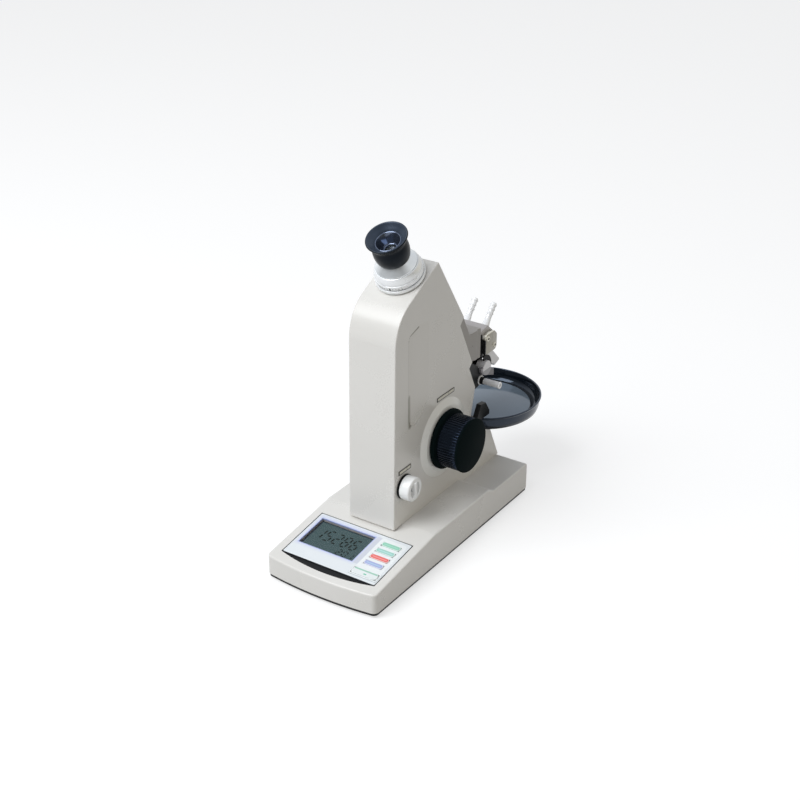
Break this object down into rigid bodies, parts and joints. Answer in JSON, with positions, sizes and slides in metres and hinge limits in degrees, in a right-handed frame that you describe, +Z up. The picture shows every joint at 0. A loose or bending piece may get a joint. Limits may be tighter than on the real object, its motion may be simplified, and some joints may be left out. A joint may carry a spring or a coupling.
{
  "type": "abbe refractometer",
  "caption": "Bench refractometer: sloping column with eyepiece, ribbed side knob, hinged water-jacketed prism pair over a round dish, and a base with display and keys.",
  "frame": {"origin": "on the bench, below the middle of the base casting's straight-sided footprint", "axes": "+Z up, +X to the right of a user at the eyepiece (the side of the measuring knob), +Y to the back, towards the prisms"},
  "size_m": [0.1312, 0.3666, 0.3435],
  "materials": {
    "casting_paint": "fine-textured two-part paint",
    "block_paint": "smooth grey-brown paint",
    "black_paint": "black powder coat",
    "olive_paint": "satin paint",
    "black_anodised": "black anodised",
    "machined_alloy": "machined, satin",
    "foot_rubber": "moulded",
    "black_rubber": "moulded, matt",
    "steel": "turned",
    "chrome": "polished plating",
    "brass": "turned",
    "white_plastic": "satin moulding",
    "black_plastic": "satin moulding",
    "green_key_plastic": "printed key",
    "red_key_plastic": "printed key",
    "blue_key_plastic": "printed key",
    "display_glass": "clear",
    "optical_glass": "polished",
    "display_plastic": "satin",
    "circuit_board": "solder resist",
    "label_metal": "satin, bare",
    "tray_plastic": "polished moulding",
    "mirror": "front silvered"
  },
  "bodies": {
    "stand": {"base_housing": "casting_paint", "base_plate": "black_paint", "rubber_feet": "foot_rubber", "machine_screws": "steel", "display_panel": "white_plastic", "panel_trim": "black_plastic", "display_window": "display_glass", "display_module": "display_plastic", "control_board": "circuit_board", "side_sockets": "black_plastic", "column_housing": "casting_paint", "label_plates": "label_metal", "prism_block": "block_paint", "main_prism": "optical_glass", "main_prism_bezel": "black_anodised", "jacket_base": "black_paint", "hinge_cheeks": "machined_alloy", "hinge_pin": "steel", "lower_hose_nipples": "chrome", "nipple_collars": "black_rubber", "tray_bracket": "black_paint", "knob_bush": "brass", "encoder_reader": "black_plastic", "optics_frame": "machined_alloy", "compensator_bushes": "brass", "drive_belt": "black_rubber", "compensator_sleeve": "black_anodised", "telescope_tube": "black_anodised", "objective_lens": "optical_glass", "eyepiece_flange": "white_plastic"},
    "hinged_half": {"lid_block": "machined_alloy", "lid_side_plates": "olive_paint", "lid_screws": "steel", "illuminating_prism": "optical_glass", "lid_prism_bezel": "black_anodised", "upper_hose_nipples": "chrome"},
    "measuring_drive": {"measuring_knob": "black_plastic", "measuring_shaft": "steel", "encoder_disc": "steel"},
    "mirror_sector": {"sector_gear": "brass", "mirror_cradle": "black_anodised", "tilting_mirror": "mirror"},
    "compensator_drive": {"compensator_knob": "white_plastic", "compensator_knob_ring": "black_plastic", "compensator_shaft": "steel"},
    "cross_drive": {"cross_shaft": "steel"},
    "upper_cell": {"upper_cell_ring": "brass", "upper_cell_prism": "optical_glass"},
    "lower_cell": {"lower_cell_ring": "brass", "lower_cell_prism": "optical_glass"},
    "focusing_ring": {"focus_ring": "white_plastic"},
    "eyepiece": {"eyepiece_barrel": "chrome", "eyecup": "black_rubber", "eye_lens": "optical_glass"},
    "tray": {"drip_tray": "tray_plastic"},
    "wide_key_body": {"wide_key": "white_plastic"},
    "blue_key_body": {"blue_key": "blue_key_plastic"},
    "red_key_body": {"red_key": "red_key_plastic"},
    "lower_green_key_body": {"lower_green_key": "green_key_plastic"},
    "upper_green_key_body": {"upper_green_key": "green_key_plastic"}
  },
  "joints": [
    {"name": "lid_hinge", "type": "hinge", "parent": "stand", "child": "hinged_half", "pos_m": [0, 0.12, 0.147], "axis": [-1, 0, 0], "range_deg": [0, 90]},
    {"name": "measuring_knob_turn", "type": "hinge", "parent": "stand", "child": "measuring_drive", "pos_m": [0.03, 0.03, 0.1065], "axis": [1, 0, 0], "range_deg": [-134, 134]},
    {"name": "mirror_tilt", "type": "hinge", "parent": "stand", "child": "mirror_sector", "pos_m": [0, 0.05173, 0.176], "axis": [1, 0, 0], "range_deg": [-9.6, 9.6]},
    {"name": "compensator_knob_turn", "type": "hinge", "parent": "stand", "child": "compensator_drive", "pos_m": [0.03, -0.041, 0.0835], "axis": [1, 0, 0], "continuous": true},
    {"name": "cross_shaft_turn", "type": "hinge", "parent": "stand", "child": "cross_drive", "pos_m": [0, 0.03617, 0.20603], "axis": [1, 0, 0], "continuous": true},
    {"name": "upper_cell_turn", "type": "hinge", "parent": "stand", "child": "upper_cell", "pos_m": [0, 0.03617, 0.20603], "axis": [0, -0.4602, 0.8878], "continuous": true},
    {"name": "lower_cell_turn", "type": "hinge", "parent": "stand", "child": "lower_cell", "pos_m": [0, 0.03617, 0.20603], "axis": [0, -0.4602, 0.8878], "continuous": true},
    {"name": "focus_turn", "type": "hinge", "parent": "stand", "child": "focusing_ring", "pos_m": [0, -0.00585, 0.28708], "axis": [0, -0.4602, 0.8878], "range_deg": [0, 150]},
    {"name": "eyepiece_travel", "type": "slide", "parent": "stand", "child": "eyepiece", "axis": [0, -0.4602, 0.8878], "range_m": [0, 0.004]},
    {"name": "tray_slide", "type": "slide", "parent": "stand", "child": "tray", "axis": [0, 1, 0], "range_m": [0, 0.06]},
    {"name": "wide_key_press", "type": "slide", "parent": "stand", "child": "wide_key_body", "axis": [0, 0.1385, -0.9904], "range_m": [0, 0.0005], "stiffness_N_per_m": 600, "springref_m": -0.0003},
    {"name": "blue_key_press", "type": "slide", "parent": "stand", "child": "blue_key_body", "axis": [0, 0.1385, -0.9904], "range_m": [0, 0.0005], "stiffness_N_per_m": 600, "springref_m": -0.0003},
    {"name": "red_key_press", "type": "slide", "parent": "stand", "child": "red_key_body", "axis": [0, 0.1385, -0.9904], "range_m": [0, 0.0005], "stiffness_N_per_m": 600, "springref_m": -0.0003},
    {"name": "lower_green_key_press", "type": "slide", "parent": "stand", "child": "lower_green_key_body", "axis": [0, 0.1385, -0.9904], "range_m": [0, 0.0005], "stiffness_N_per_m": 600, "springref_m": -0.0003},
    {"name": "upper_green_key_press", "type": "slide", "parent": "stand", "child": "upper_green_key_body", "axis": [0, 0.1385, -0.9904], "range_m": [0, 0.0005], "stiffness_N_per_m": 600, "springref_m": -0.0003}
  ],
  "couplings": [
    {"joint": "mirror_tilt", "follows": "measuring_knob_turn", "ratio": -0.070569},
    {"joint": "cross_shaft_turn", "follows": "compensator_knob_turn", "ratio": 1},
    {"joint": "upper_cell_turn", "follows": "compensator_knob_turn", "ratio": 0.25},
    {"joint": "lower_cell_turn", "follows": "compensator_knob_turn", "ratio": -0.25},
    {"joint": "focus_turn", "follows": "eyepiece_travel", "rad_per_m": 654.5}
  ]
}
